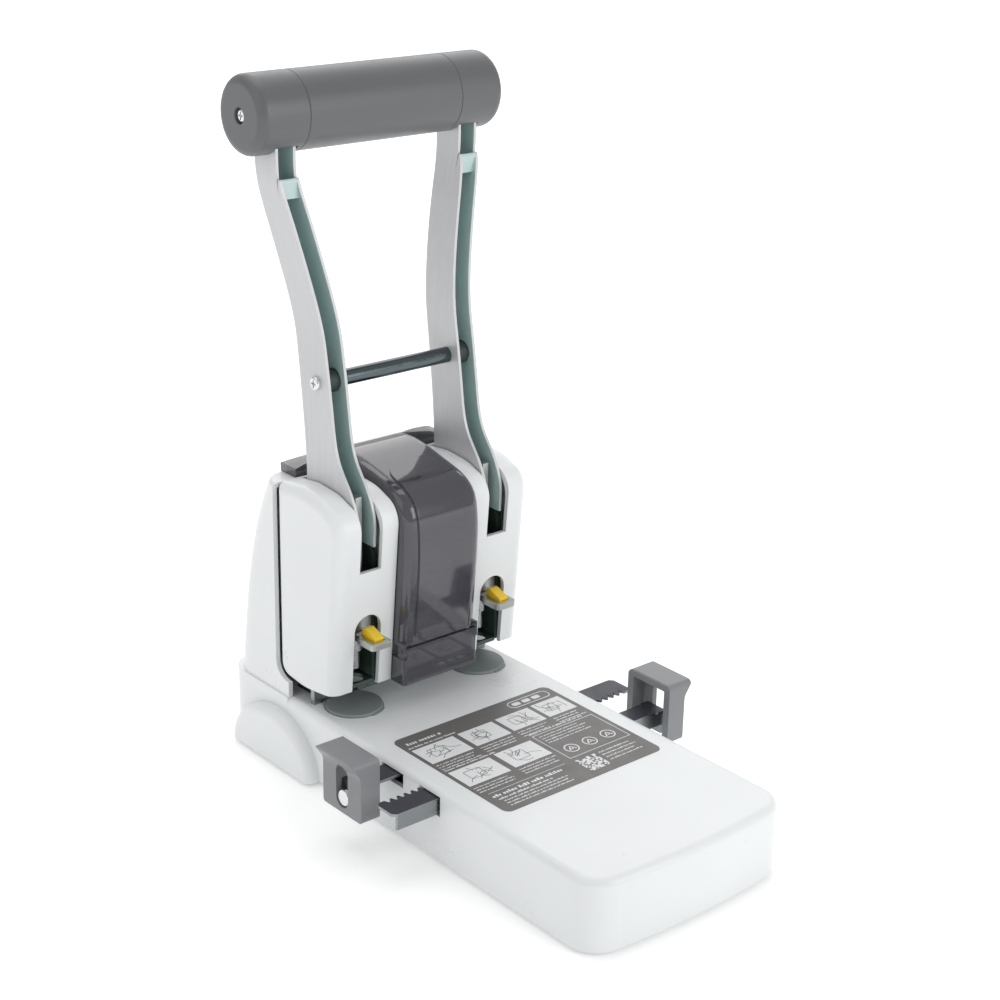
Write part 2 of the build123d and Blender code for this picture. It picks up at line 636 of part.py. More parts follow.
def chamber_wall():
    """The rear wall of the chip chamber between the columns."""
    reach = HOOD_HALF_W - HOOD_WALL - 0.2
    wall = block(-reach, reach, 70.0, 72.0, 56.0, 150.0)
    return wall + block(-reach, reach, DOOR_FRONT_Y + SCOOP_DEPTH + SCOOP_WALL + 1.0, 72.0, 54.0, 56.0)


def paper_stop():
    """The bar that the paper edge is pushed against."""
    y = PUNCH_Y + EDGE_MARGIN
    bar = block(-PAPER_STOP_HALF_W, PAPER_STOP_HALF_W, y, y + 3.0, TABLE_Z, COLUMN_REAR_BOTTOM_Z + 1.0)
    for x in (-PUNCH_X, PUNCH_X):
        bar -= rod_z(DISC_R + DISC_LUG_REACH + CURVED_GAP, x, PUNCH_Y, TABLE_Z - 1, TABLE_Z + DISC_PROUD + 0.6)
    return bar


# ---- hood ----
def hood_curve(lift):
    """The hood curve moved outward by lift."""
    points = []
    for (y, z), (out_y, out_z) in zip(HOOD_CURVE, HOOD_NORMALS):
        points.append((y + lift * out_y, z + lift * out_z))
    return Spline(*points)


def hood_band(half_w, lift):
    """A solid below the hood curve, raised by lift."""
    curve = hood_curve(lift)
    start = curve @ 0
    end = curve @ 1
    sill = HOUSING_TOP_Z + 0.1
    shelf = PIVOT_Z + PIVOT_R + 2.0
    rim = Polyline((end.X, end.Y), (end.X, sill), (HOUSING_FRONT_Y, sill), (HOUSING_FRONT_Y, shelf), (60, shelf),
                   (60, start.Y), (start.X, start.Y))
    face = make_face([curve, *rim.edges()])
    return extrude(Plane.YZ.offset(-half_w) * face, 2 * half_w)


def hood_panel():
    """The raised middle panel of the hood, with a rounded rear end."""
    half = HOOD_PANEL_HALF_W
    outline = block(-half, half, 30, HOOD_PANEL_REAR_Y - half, HOOD_BOTTOM_Z + HOOD_PANEL_SILL, 200)
    outline += rod_z(half, 0, HOOD_PANEL_REAR_Y - half, HOOD_BOTTOM_Z + HOOD_PANEL_SILL, 200)
    return hood_band(half, HOOD_PANEL_H) & outline


def door_lug(side):
    """The cheek of the hood that holds one hinge pin of the door."""
    x0, x1 = sorted((side * (HOOD_HALF_W - HOOD_WALL + 0.3), side * HOOD_HALF_W))
    corners = [(DOOR_FRONT_Y, DOOR_LUG_Z, 1.0), (DOOR_FRONT_Y + 4.8, DOOR_LUG_Z, 1.0),
               (DOOR_FRONT_Y + 4.8, HOOD_BOTTOM_Z + 2, 0), (DOOR_FRONT_Y, HOOD_BOTTOM_Z + 2, 0)]
    return side_polygon(corners, x0, x1)


def hood():
    """The smoke-coloured chip cover over the middle and across the rear."""
    middle = hood_band(HOOD_HALF_W, 0)
    edges = [e for e in middle.edges() if abs(abs(e.center().X) - HOOD_HALF_W) < 0.01
             and e.geom_type == GeomType.BSPLINE]
    middle = fillet(edges, 6.0)
    wing = hood_band(HOOD_WING_HALF_W, 0) & block(-HOUSING_HALF_W, HOUSING_HALF_W, HOUSING_FRONT_Y, 115, 140, 180)
    crown = Pos(0, 104, HOOD_CROWN_Z - HOOD_CROWN_R) * Rot(90, 0, 0) * Cylinder(HOOD_CROWN_R, 60)
    wing &= crown
    body = middle + wing + hood_panel()
    inside = hood_band(HOOD_HALF_W - HOOD_WALL, -HOOD_WALL)
    inside += block(-HOOD_HALF_W + HOOD_WALL, HOOD_HALF_W - HOOD_WALL, 52, 100, 60, 150)
    wing_in = hood_band(HOOD_WING_HALF_W - HOOD_WALL, -HOOD_WALL)
    inside += wing_in & block(-HOUSING_HALF_W, HOUSING_HALF_W, HOUSING_FRONT_Y + HOOD_WALL, 109.5, 140, 180) & (Pos(0, 0, -HOOD_WALL) * crown)
    body -= inside
    for side in (-1, 1):
        body += door_lug(side)
    return body - rod_x(DOOR_PIN_R + RUNNING_FIT, -HOOD_HALF_W, HOOD_HALF_W, DOOR_AXIS_Y, DOOR_AXIS_Z)


def scoop_shell(wall):
    """The rounded finger scoop of the door as a solid, grown by wall."""
    ball = scale(Sphere(1), by=(SCOOP_HALF_W + wall, SCOOP_DEPTH + wall, SCOOP_HEIGHT + wall))
    reach = SCOOP_HALF_W + wall
    front = DOOR_FRONT_Y if wall else DOOR_FRONT_Y - 10
    bottom = DOOR_BOTTOM_Z if wall else DOOR_BOTTOM_Z - 10
    room = block(-reach, reach, front, DOOR_FRONT_Y + 20, bottom, DOOR_TOP_Z)
    return Pos(0, DOOR_FRONT_Y, DOOR_BOTTOM_Z) * ball & room


def chip_door():
    """The small smoke-coloured door below the hood, with its hinge pins and finger scoop."""
    inner = HOOD_HALF_W - HOOD_WALL
    rear = DOOR_FRONT_Y + DOOR_T
    shoulder = DOOR_LUG_Z - SIDE_GAP
    plate = block(-HOOD_HALF_W, HOOD_HALF_W, DOOR_FRONT_Y, rear, DOOR_BOTTOM_Z, shoulder)
    for side in (-1, 1):
        x0, x1 = sorted((side * (inner + 0.3), side * HOOD_HALF_W))
        plate += block(x0, x1, DOOR_FRONT_Y, DOOR_CHEEK_REAR_Y, DOOR_BOTTOM_Z, shoulder)
    corners = [e for e in plate.edges().filter_by(Axis.Z) if e.center().Y < DOOR_FRONT_Y + 0.1]
    plate = fillet(corners, 1.8)
    plate += block(-inner, inner, DOOR_FRONT_Y, rear, shoulder - 1, DOOR_TOP_Z)
    pins = rod_x(DOOR_PIN_R, -HOOD_HALF_W + 0.3, HOOD_HALF_W - 0.3, DOOR_AXIS_Y, DOOR_AXIS_Z)
    return plate + scoop_shell(SCOOP_WALL) - scoop_shell(0) + pins


# ---- main frame ----
def main_frame():
    """The steel bracket of the right column that guides the punch slide."""
    rear = FRAME_REAR_Y
    front = FRAME_FRONT_Y
    corners = [
        (77.5, FOOT_H + PLATE_T, 0), (rear, FOOT_H + PLATE_T, 0), (rear, FRAME_TOP_Z, 6), (64.0, FRAME_TOP_Z, 6),
        (front, 120.0, 6), (front, FRAME_THROAT_Z, 2), (77.5, FRAME_THROAT_Z, 3),
    ]
    inner = PUNCH_X - FRAME_HALF_GAP
    outer = PUNCH_X + FRAME_HALF_GAP
    plates = side_polygon(corners, inner - FRAME_SHEET, inner) + side_polygon(corners, outer, outer + FRAME_SHEET)
    web = block(inner, outer, rear - FRAME_SHEET, rear, FOOT_H + PLATE_T, 112.0)
    lower = block(inner, outer, front, 77.5, FRAME_THROAT_Z, FRAME_THROAT_Z + 2.0)
    shelf = block(inner, outer, 77.0, rear, SPRING_FOOT_Z - 2.5, SPRING_FOOT_Z)
    guide_top = SLIDE_TOP_Z - LEDGE_T - STROKE - SIDE_GAP
    guide = block(inner, outer, SLIDE_REAR_Y, SLIDE_REAR_Y + 2.5, SPRING_FOOT_Z - 6, guide_top)
    frame = plates + web + lower + shelf + guide
    frame -= rod_z(CUTTER_SHANK_R + 0.6, PUNCH_X, PUNCH_Y, 40, 60)
    frame -= rod_x(PIVOT_R + RUNNING_FIT, 20, 60, PIVOT_Y, PIVOT_Z)
    return frame - rod_x(TIE_R, 20, 60, TIE_Y, TIE_Z)


def pivot_shaft():
    """The shaft that both arms turn on."""
    reach = PUNCH_X + FRAME_HALF_GAP + FRAME_SHEET + 3.0
    shaft = rod_x(PIVOT_R, -reach, reach, PIVOT_Y, PIVOT_Z)
    for s in (-1, 1):
        x = s * (reach - 1.6)
        shaft -= rod_x(PIVOT_R + 1, x - 0.5, x + 0.5, PIVOT_Y, PIVOT_Z) - rod_x(3.0, x - 1, x + 1, PIVOT_Y, PIVOT_Z)
    return shaft


def shaft_clips():
    """Two E-clips in the shaft grooves."""
    reach = PUNCH_X + FRAME_HALF_GAP + FRAME_SHEET + 3.0
    clips = []
    for s in (-1, 1):
        x = s * (reach - 1.6)
        ring = rod_x(6.5, x - 0.45, x + 0.45, PIVOT_Y, PIVOT_Z) - rod_x(3.0, x - 1, x + 1, PIVOT_Y, PIVOT_Z)
        clips.append(ring - block(x - 1, x + 1, PIVOT_Y - 2.2, PIVOT_Y + 2.2, PIVOT_Z - 9, PIVOT_Z))
    return as_group(clips)


def frame_tie():
    """The rod that ties both brackets together low in the base."""
    reach = PUNCH_X + FRAME_HALF_GAP + FRAME_SHEET + 4.0
    return rod_x(TIE_R, -reach, reach, TIE_Y, TIE_Z)


# ---- punch units ----
def punch_slide():
    """The right-hand slide with its tongue for the drive pin."""
    y0 = FRAME_FRONT_Y + 0.5
    body = block(PUNCH_X - SLIDE_HALF_W, PUNCH_X + SLIDE_HALF_W, y0, SLIDE_REAR_Y - SIDE_GAP, SLIDE_BOTTOM_Z, SLIDE_TOP_Z)
    ledge = block(PUNCH_X - SLIDE_HALF_W, PUNCH_X + SLIDE_HALF_W, y0 + 10, 91.0, SLIDE_TOP_Z - LEDGE_T, SLIDE_TOP_Z)
    mid = (DRIVE_Y + DRIVE_NEAR_Y) / 2
    tongue = block(PUNCH_X - TONGUE_HALF_T, PUNCH_X + TONGUE_HALF_T, mid - TONGUE_DEPTH / 2, mid + TONGUE_DEPTH / 2,
                   SLIDE_TOP_Z - 2, TONGUE_TOP_Z)
    slot_h = DRIVE_PIN_R + 0.6
    slot_l = (DRIVE_Y - DRIVE_NEAR_Y) / 2 + DRIVE_PIN_R + CURVED_GAP
    slot = block(20, 60, mid - slot_l, mid + slot_l, DRIVE_Z - slot_h, DRIVE_Z + slot_h)
    slide = body + ledge + tongue - slot
    slide -= rod_z(CUTTER_SHANK_R + RUNNING_FIT, PUNCH_X, PUNCH_Y, 60, 100.0)
    slide -= block(PUNCH_X - BAIL_HALF_W - 0.4, PUNCH_X + BAIL_HALF_W + 0.4, 40, 72,
                   BAIL_TOP_Z - BAIL_T - 0.3, BAIL_TOP_Z + 0.3)
    return slide


def cutter():
    """The hollow right-hand cutter."""
    tip = rod_z(HOLE_DIA / 2, PUNCH_X, PUNCH_Y, CUTTER_TIP_Z, 70.0)
    shank = rod_z(CUTTER_SHANK_R, PUNCH_X, PUNCH_Y, 70.0, 100.0)
    neck = rod_z(CUTTER_SHANK_R + 1, PUNCH_X, PUNCH_Y, BAIL_TOP_Z - BAIL_T - 0.3, BAIL_TOP_Z + 0.3)
    neck -= rod_z(3.6, PUNCH_X, PUNCH_Y, 60, 100)
    tube = tip + shank - neck
    bore = rod_z(CUTTER_BORE_R, PUNCH_X, PUNCH_Y, 50, 110)
    return chamfer((tube - bore).edges().filter_by(GeomType.CIRCLE).sort_by(Axis.Z)[-1], 0.3)


def bail():
    """The fork that holds the right-hand cutter, with its thumb plate standing out in front."""
    z0 = BAIL_TOP_Z - BAIL_T
    shank = block(PUNCH_X - BAIL_HALF_W, PUNCH_X + BAIL_HALF_W, BAIL_HEAD_REAR_Y - 1, 66.0, z0, BAIL_TOP_Z)
    head = block(PUNCH_X - BAIL_HEAD_HALF_W, PUNCH_X + BAIL_HEAD_HALF_W, BAIL_FRONT_Y, BAIL_HEAD_REAR_Y, z0, BAIL_TOP_Z)
    head = fillet([e for e in head.edges().filter_by(Axis.Z) if e.center().Y < 40], 2.0)
    head = chamfer(head.faces().sort_by(Axis.Z)[-1].edges(), 0.4)
    notch = block(PUNCH_X - 3.9, PUNCH_X + 3.9, PUNCH_Y, 80, z0 - 1, BAIL_TOP_Z + 1)
    notch += rod_z(3.9, PUNCH_X, PUNCH_Y, z0 - 1, BAIL_TOP_Z + 1)
    pocket = block(PUNCH_X - 3.4, PUNCH_X + 3.4, WEDGE_FRONT_Y - 0.5, WEDGE_REAR_Y + 0.5, BAIL_TOP_Z - BAIL_POCKET, 90)
    return shank + head - notch - pocket


def wedge():
    """The yellow release tab on the right-hand bail."""
    foot = BAIL_TOP_Z - BAIL_POCKET
    corners = [(WEDGE_FRONT_Y, foot, 0), (WEDGE_REAR_Y, foot, 0), (WEDGE_REAR_Y, BAIL_TOP_Z + 4.2, 0.8),
               (WEDGE_REAR_Y - 2.5, BAIL_TOP_Z + 4.4, 0.8), (WEDGE_FRONT_Y, BAIL_TOP_Z + 1.6, 0.8)]
    return side_polygon(corners, PUNCH_X - 2.7, PUNCH_X + 2.7)


def return_spring():
    """The compression spring that lifts the right-hand slide."""
    height = SLIDE_TOP_Z - LEDGE_T - SPRING_FOOT_Z - 2 * SPRING_WIRE_R
    path = Helix(pitch=height / 8, height=height, radius=SPRING_R - SPRING_WIRE_R)
    start = path @ 0
    profile = Plane(origin=start, z_dir=path % 0) * Circle(SPRING_WIRE_R)
    coil = sweep(profile, path=path)
    return Pos(PUNCH_X, SPRING_Y, SPRING_FOOT_Z + SPRING_WIRE_R) * coil


# ---- handle ----
def arm_side(shift):
    """The side view of an arm as a wide solid, moved forward by shift."""
    front = Spline(*[(y - shift, z) for y, z in ARM_FRONT_CURVE], tangents=((0, 1), (0, 1)))
    rear = Spline(*[(y - shift, z) for y, z in ARM_REAR_CURVE], tangents=((0, 1), (0, 1)))
    face = make_face([front, rear, Line(front @ 0, rear @ 0), Line(front @ 1, rear @ 1)])
    return extrude(Plane.YZ.offset(20) * face, 60)


def arm_strip(half_w):
    """The front view of an arm as a deep solid."""
    edges = []
    for side in (-half_w, half_w):
        flare = Spline(*[(x + side, z) for x, z in ARM_FLARE_CURVE], tangents=((0, 1), (0, 1)))
        edges += [Line((PUNCH_X + side, ARM_FOOT_Z), flare @ 0), flare, Line(flare @ 1, (ARM_TOP_X + side, ARM_TOP_Z))]
    edges.append(Line((PUNCH_X - half_w, ARM_FOOT_Z), (PUNCH_X + half_w, ARM_FOOT_Z)))
    edges.append(Line((ARM_TOP_X - half_w, ARM_TOP_Z), (ARM_TOP_X + half_w, ARM_TOP_Z)))
    face = make_face(edges)
    return extrude(Plane.XZ.offset(-150) * face, 150)


def arm():
    """The right-hand arm: a pressed steel channel open to the front."""
    channel = arm_side(0) & arm_strip(ARM_WIDTH / 2)
    channel -= arm_side(ARM_SHEET) & arm_strip(ARM_WIDTH / 2 - ARM_SHEET)
    channel -= rod_x(PIVOT_R + RUNNING_FIT, 20, 60, PIVOT_Y, PIVOT_Z)
    channel -= rod_x(DRIVE_PIN_R + RUNNING_FIT, 20, 60, DRIVE_Y, DRIVE_Z)
    channel -= rod_x(2.0, 20, 60, CROSSBAR_Y, CROSSBAR_Z)
    return channel - rod_x(CORE_R + RUNNING_FIT, 20, 80, GRIP_Y, GRIP_Z)


def crossbar():
    """The chromed bar between the arms."""
    reach = PUNCH_X - ARM_WIDTH / 2
    bar = rod_x(CROSSBAR_R, -reach, reach, CROSSBAR_Y, CROSSBAR_Z)
    for s in (-1, 1):
        bar -= rod_x(1.7, *sorted((s * reach, s * (reach - 14))), CROSSBAR_Y, CROSSBAR_Z)
    return bar


def crossbar_bushes():
    """The spacers inside the arm channels at the crossbar."""
    half = ARM_WIDTH / 2 - ARM_SHEET
    rings = []
    for s in (-1, 1):
        ring = rod_x(5.8, s * PUNCH_X - half, s * PUNCH_X + half, CROSSBAR_Y, CROSSBAR_Z)
        rings.append(ring - rod_x(1.7, s * PUNCH_X - 9, s * PUNCH_X + 9, CROSSBAR_Y, CROSSBAR_Z))
    return as_group(rings)


def crossbar_screws():
    """The screws that clamp the crossbar between the arms."""
    x = PUNCH_X + ARM_WIDTH / 2
    right = Pos(x, CROSSBAR_Y, CROSSBAR_Z) * Rot(0, 90, 0) * screw(3.5, 2.2, 1.6, 20.0)
    return as_group([right, mirrored(right)])


def drive_pins():
    """The riveted pins that push the slides down."""
    half = ARM_WIDTH / 2
    pins = []
    for s in (-1, 1):
        pin = rod_x(DRIVE_PIN_R, s * PUNCH_X - half, s * PUNCH_X + half, DRIVE_Y, DRIVE_Z)
        for side in (-1, 1):
            face = s * PUNCH_X + side * half
            pin += rod_x(3.3, *sorted((face, face + side * 0.8)), DRIVE_Y, DRIVE_Z)
        pins.append(pin)
    return as_group(pins)


def grip_core():
    """The steel bar through the grip and both arms."""
    core = rod_x(CORE_R, -CORE_HALF_L, CORE_HALF_L, GRIP_Y, GRIP_Z)
    for s in (-1, 1):
        core -= rod_x(1.9, *sorted((s * CORE_HALF_L, s * (CORE_HALF_L - 15))), GRIP_Y, GRIP_Z)
    return core


def grip_sleeve():
    """The middle of the grip."""
    tube = rod_x(GRIP_R, -GRIP_SEAM_X, GRIP_SEAM_X, GRIP_Y, GRIP_Z)
    tube = fillet(tube.edges().filter_by(GeomType.CIRCLE), GRIP_SEAM_BEVEL)
    return tube - rod_x(GRIP_R - GRIP_WALL, -GRIP_SEAM_X, GRIP_SEAM_X, GRIP_Y, GRIP_Z)


def grip_cap():
    """The right-hand end of the grip, with a pocket for the arm."""
    cap = rod_x(GRIP_R, GRIP_SEAM_X, GRIP_HALF_L, GRIP_Y, GRIP_Z)
    cap = fillet(cap.edges().filter_by(GeomType.CIRCLE).sort_by(Axis.X)[-1], GRIP_END_R)
    cap = fillet(cap.edges().filter_by(GeomType.CIRCLE).sort_by(Axis.X)[0], GRIP_SEAM_BEVEL)
    cap += rod_x(GRIP_R - GRIP_WALL - SCREW_GAP, GRIP_SEAM_X - 4, GRIP_SEAM_X, GRIP_Y, GRIP_Z)
    cap -= rod_x(CORE_R + RUNNING_FIT, GRIP_SEAM_X - 5, CORE_HALF_L, GRIP_Y, GRIP_Z)
    cap -= rod_x(1.9, 60, 80, GRIP_Y, GRIP_Z)
    cap -= rod_x(3.9, GRIP_HALF_L - 3.0, 80, GRIP_Y, GRIP_Z)
    half = ARM_WIDTH / 2 + 0.4
    return cap - block(ARM_TOP_X - half - 0.6, ARM_TOP_X + half, 90.6, 110.0, 300, ARM_TOP_Z + 0.5)


def grip_screws():
    """The screws in the ends of the grip."""
    x = GRIP_HALF_L - 3.0
    right = Pos(x, GRIP_Y, GRIP_Z) * Rot(0, 90, 0) * screw(3.3, 2.2, 1.8, 14.0)
    return as_group([right, mirrored(right)])


def build_parts():
    """Every node of the punch by name."""
    parts = {
        "base_shell": base_shell(),
        "base_plate": base_plate(),
        "feet": feet(),
        "base_screws": base_screws(),
        "table_label": table_label(),
        "rail_tray": rail_tray(),
        "tray_screws": tray_screws(),
        "pinion_stud": pinion_stud(),
        "pinion": pinion(),
        "rail_rear": rail_rear(),
        "rail_front": rail_front(),
        "rivet_left": stop_rivet(STOP_LEFT_Y, -1),
        "rivet_right": stop_rivet(STOP_RIGHT_Y, 1),
        "stop_left": side_stop(STOP_LEFT_Y, -1),
        "stop_right": side_stop(STOP_RIGHT_Y, 1),
        "disc_left": cutting_disc(-PUNCH_X),
        "disc_right": cutting_disc(PUNCH_X),
        "rear_housing": rear_housing(),
        "chamber_wall": chamber_wall(),
        "paper_stop": paper_stop(),
        "hood": hood(),
        "chip_door": chip_door(),
        "pivot_shaft": pivot_shaft(),
        "shaft_clips": shaft_clips(),
        "frame_tie": frame_tie(),
        "crossbar": crossbar(),
        "crossbar_bushes": crossbar_bushes(),
        "crossbar_screws": crossbar_screws(),
        "drive_pins": drive_pins(),
        "grip_core": grip_core(),
        "grip_sleeve": grip_sleeve(),
        "grip_screws": grip_screws(),
    }
    handed = {
        "cover": column_cover(),
        "frame": main_frame(),
        "slide": punch_slide(),
        "cutter": cutter(),
        "bail": bail(),
        "wedge": wedge(),
        "spring": return_spring(),
        "arm": arm(),
        "grip_cap": grip_cap(),
    }
    for name, shape in handed.items():
        parts[name + "_right"] = shape
        parts[name + "_left"] = mirrored(shape)
    return parts


def main():
    """Write one STEP file per node."""
    os.makedirs("parts", exist_ok=True)
    for name, shape in build_parts().items():
        export_step(shape, f"parts/{name}.step")


main()
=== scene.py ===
"""Looks, light and camera for a two-hole paper punch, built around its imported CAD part."""

import json
import math
import random

import bmesh
import bpy
from mathutils import Matrix, Vector


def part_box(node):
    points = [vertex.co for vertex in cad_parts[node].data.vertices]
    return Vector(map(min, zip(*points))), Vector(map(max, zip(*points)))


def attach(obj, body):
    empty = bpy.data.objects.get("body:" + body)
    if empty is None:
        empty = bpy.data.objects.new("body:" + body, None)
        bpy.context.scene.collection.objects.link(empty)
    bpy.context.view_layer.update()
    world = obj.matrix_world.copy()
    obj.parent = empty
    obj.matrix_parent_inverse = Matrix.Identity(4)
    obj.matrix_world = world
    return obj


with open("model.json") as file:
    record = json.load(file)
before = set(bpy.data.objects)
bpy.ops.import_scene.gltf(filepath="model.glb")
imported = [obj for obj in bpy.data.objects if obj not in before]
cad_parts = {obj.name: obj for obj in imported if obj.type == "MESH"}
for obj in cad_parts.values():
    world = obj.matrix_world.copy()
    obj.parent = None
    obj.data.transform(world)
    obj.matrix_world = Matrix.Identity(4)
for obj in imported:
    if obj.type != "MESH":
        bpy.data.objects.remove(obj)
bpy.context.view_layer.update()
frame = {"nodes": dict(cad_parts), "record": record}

MM = 0.001
NODES = frame["nodes"]
SLOT_OF = {p["node"]: p["material_slot"] for p in frame["record"]["subparts"]}

# ---- material building blocks ----


class Shader:
    """A node tree under construction, with short calls for the nodes it uses."""

    def __init__(self, name):
        self.material = bpy.data.materials.new(name)
        self.material.use_nodes = True
        self.tree = self.material.node_tree
        self.tree.nodes.clear()
        self.out = self.add("ShaderNodeOutputMaterial")
        self.bsdf = self.add("ShaderNodeBsdfPrincipled")
        self.link(self.bsdf.outputs[0], self.out.inputs["Surface"])
        self.place = self.add("ShaderNodeTexCoord").outputs["Object"]

    def add(self, kind, **settings):
        node = self.tree.nodes.new(kind)
        for key, value in settings.items():
            setattr(node, key, value)
        return node

    def link(self, source, target):
        self.tree.links.new(source, target)

    def set(self, socket, value):
        self.bsdf.inputs[socket].default_value = value

    def drive(self, socket, source):
        self.link(source, self.bsdf.inputs[socket])

    def stretched(self, scale):
        """Object coordinates scaled differently along each axis."""
        mapping = self.add("ShaderNodeMapping")
        mapping.inputs["Scale"].default_value = scale
        self.link(self.place, mapping.inputs["Vector"])
        return mapping.outputs[0]

    def noise(self, scale, detail=3.0, rough=0.55, vector=None):
        node = self.add("ShaderNodeTexNoise")
        node.inputs["Scale"].default_value = scale
        node.inputs["Detail"].default_value = detail
        node.inputs["Roughness"].default_value = rough
        self.link(vector or self.place, node.inputs["Vector"])
        return node.outputs[0]

    def spread(self, source, low, high, from_low=0.3, from_high=0.7):
        """Maps a factor to a range of numbers."""
        node = self.add("ShaderNodeMapRange")
        limits = {"From Min": from_low, "From Max": from_high, "To Min": low, "To Max": high}
        for socket, value in limits.items():
            node.inputs[socket].default_value = value
        self.link(source, node.inputs["Value"])
        return node.outputs[0]

    def blend(self, factor, first, second):
        """Mixes two colours; each is a colour or an output."""
        node = self.add("ShaderNodeMix", data_type="RGBA")
        self.link(factor, node.inputs[0])
        for socket, value in ((node.inputs[6], first), (node.inputs[7], second)):
            if isinstance(value, tuple):
                socket.default_value = (*value, 1.0)
            else:
                self.link(value, socket)
        return node.outputs[2]

    def edges(self, radius, low=0.02, high=0.25):
        """About 1 along the sharp edges of the shape and 0 elsewhere."""
        bevel = self.add("ShaderNodeBevel", samples=4)
        bevel.inputs["Radius"].default_value = radius
        flat = self.add("ShaderNodeNewGeometry").outputs["Normal"]
        dot = self.add("ShaderNodeVectorMath", operation="DOT_PRODUCT")
        self.link(bevel.outputs[0], dot.inputs[0])
        self.link(flat, dot.inputs[1])
        return self.spread(dot.outputs["Value"], 1.0, 0.0, 1.0 - high, 1.0 - low)

    def bump(self, height, strength, distance, soft_edge=0.0):
        """Fine relief over the surface, on top of slightly rounded edges."""
        node = self.add("ShaderNodeBump")
        node.inputs["Strength"].default_value = strength
        node.inputs["Distance"].default_value = distance
        self.link(height, node.inputs["Height"])
        if soft_edge:
            bevel = self.add("ShaderNodeBevel", samples=4)
            bevel.inputs["Radius"].default_value = soft_edge
            self.link(bevel.outputs[0], node.inputs["Normal"])
        self.drive("Normal", node.outputs[0])


def scaled(colour, factor):
    """A colour made lighter or darker."""
    return tuple(min(1.0, c * factor) for c in colour)


def moulded(name, colour, rough, grain=1400.0, relief=0.12, wear=1.12, edge=0.00035):
    """Moulded plastic: fine grain, faint cloudiness and slightly polished edges."""
    s = Shader(name)
    cloud = s.noise(14.0, 2.0)
    base = s.blend(s.spread(cloud, 0.0, 1.0), scaled(colour, 0.975), scaled(colour, 1.015))
    worn = s.edges(0.0006)
    scuff = s.spread(s.noise(260.0, 5.0, 0.7), 0.0, 0.7, 0.45, 0.75)
    mask = s.add("ShaderNodeMath", operation="MULTIPLY")
    s.link(worn, mask.inputs[0])
    s.link(scuff, mask.inputs[1])
    s.drive("Base Color", s.blend(mask.outputs[0], base, scaled(colour, wear)))
    s.drive("Roughness", s.spread(s.noise(45.0, 4.0, 0.6), rough - 0.03, rough + 0.04))
    s.bump(s.noise(grain, 2.0), relief, 0.00004, edge)
    return s.material


def plated(name, colour, rough, grain=(40.0, 40.0, 1200.0), relief=0.15, tint=0.92, wear=1.2, edge=0.0002,
           metal=1.0):
    """Plated or ground metal with fine lines along the piece."""
    s = Shader(name)
    lines = s.noise(1.0, 3.0, 0.6, s.stretched(grain))
    spots = s.noise(120.0, 4.0, 0.65)
    base = s.blend(s.spread(spots, 0.0, 1.0), scaled(colour, tint), colour)
    base = s.blend(s.spread(lines, 0.0, 0.4), base, scaled(colour, 0.85))
    s.drive("Base Color", s.blend(s.spread(s.edges(0.0005), 0.0, 0.8, 0.0, 1.0), base, scaled(colour, wear)))
    s.set("Metallic", metal)
    s.drive("Roughness", s.spread(spots, rough - 0.06, rough + 0.08))
    s.bump(lines, relief, 0.00003, edge)
    return s.material


def smoked(name):
    """Smoke-tinted clear moulding, glossy outside."""
    s = Shader(name)
    flow = s.noise(9.0, 2.0)
    s.drive("Base Color", s.blend(s.spread(flow, 0.0, 1.0), (0.062, 0.061, 0.075), (0.082, 0.081, 0.097)))
    s.drive("Roughness", s.spread(s.noise(80.0, 4.0, 0.6), 0.05, 0.13))
    s.drive("Alpha", s.spread(s.edges(0.0012), 0.78, 0.95, 0.0, 1.0))
    s.set("IOR", 1.5)
    s.set("Specular IOR Level", 0.6)
    s.set("Coat Weight", 0.8)
    s.set("Coat Roughness", 0.04)
    s.bump(s.noise(180.0, 2.0), 0.04, 0.00005, 0.0004)
    return s.material


def rubbery(name):
    """Black rubber with a rough, slightly dusty skin."""
    s = Shader(name)
    dust = s.spread(s.noise(220.0, 5.0, 0.7), 0.0, 0.35, 0.5, 0.8)
    s.drive("Base Color", s.blend(dust, (0.025, 0.025, 0.026), (0.11, 0.11, 0.105)))
    s.drive("Roughness", s.spread(s.noise(90.0), 0.7, 0.88))
    s.bump(s.noise(1500.0, 3.0), 0.4, 0.00006)
    return s.material


def printed(name, colour):
    """The label's film, or ink printed on it."""
    s = Shader(name)
    s.drive("Base Color", s.blend(s.spread(s.noise(400.0, 3.0), 0.0, 1.0), scaled(colour, 0.95), colour))
    s.drive("Roughness", s.spread(s.noise(120.0), 0.36, 0.5))
    s.bump(s.noise(900.0), 0.05, 0.00002)
    return s.material


